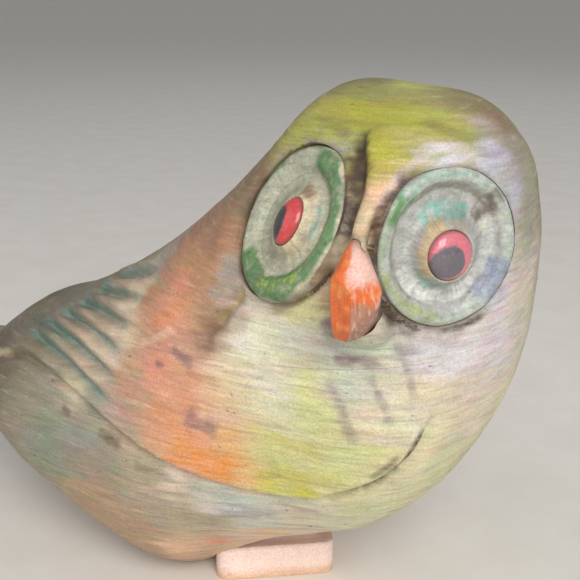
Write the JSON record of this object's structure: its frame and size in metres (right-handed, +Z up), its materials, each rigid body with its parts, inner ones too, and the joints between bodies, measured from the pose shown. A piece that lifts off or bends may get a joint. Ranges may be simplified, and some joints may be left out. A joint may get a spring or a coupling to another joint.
{
  "type": "owl figurine",
  "caption": "Carved and painted wooden owl in a bird pose, head turned over one side, inset disc eyes with domed beads, wedge beak and a small foot block to stand on.",
  "frame": {"origin": "centre of the foot's underside, on the surface that the owl stands on", "axes": "+X towards the breast and away from the tail, -Y the side that the face looks to, +Z up"},
  "size_m": [0.1733, 0.0753, 0.1085],
  "materials": {
    "painted_body": "carved wood with thin worn paint in orange, lime, cream and grey-green, satin",
    "painted_head": "carved wood with thin worn paint in olive-yellow, cream and lavender, satin",
    "painted_foot": "carved wood, pale pink paint, matt",
    "right_disc_paint": "turned wood, grey-green dish with a green rim, brushed paint",
    "left_disc_paint": "turned wood, pale grey-lavender dish with teal and brown worn patches",
    "right_bead_paint": "domed bead painted red with a black pupil, varnished",
    "left_bead_paint": "domed bead painted pink-red with a grey-black pupil, glossy varnish",
    "beak_paint": "carved wood, orange paint with yellow highlights, satin",
    "dowel_wood": "plain beech dowel, unpainted"
  },
  "bodies": {
    "root": {"body_block": "painted_body", "head_block": "painted_head", "neck_dowel_front": "dowel_wood", "neck_dowel_rear": "dowel_wood", "foot_block": "painted_foot", "foot_dowel_front": "dowel_wood", "foot_dowel_rear": "dowel_wood", "right_eye_disc": "right_disc_paint", "left_eye_disc": "left_disc_paint", "right_eye_bead": "right_bead_paint", "left_eye_bead": "left_bead_paint", "beak": "beak_paint"}
  },
  "joints": []
}
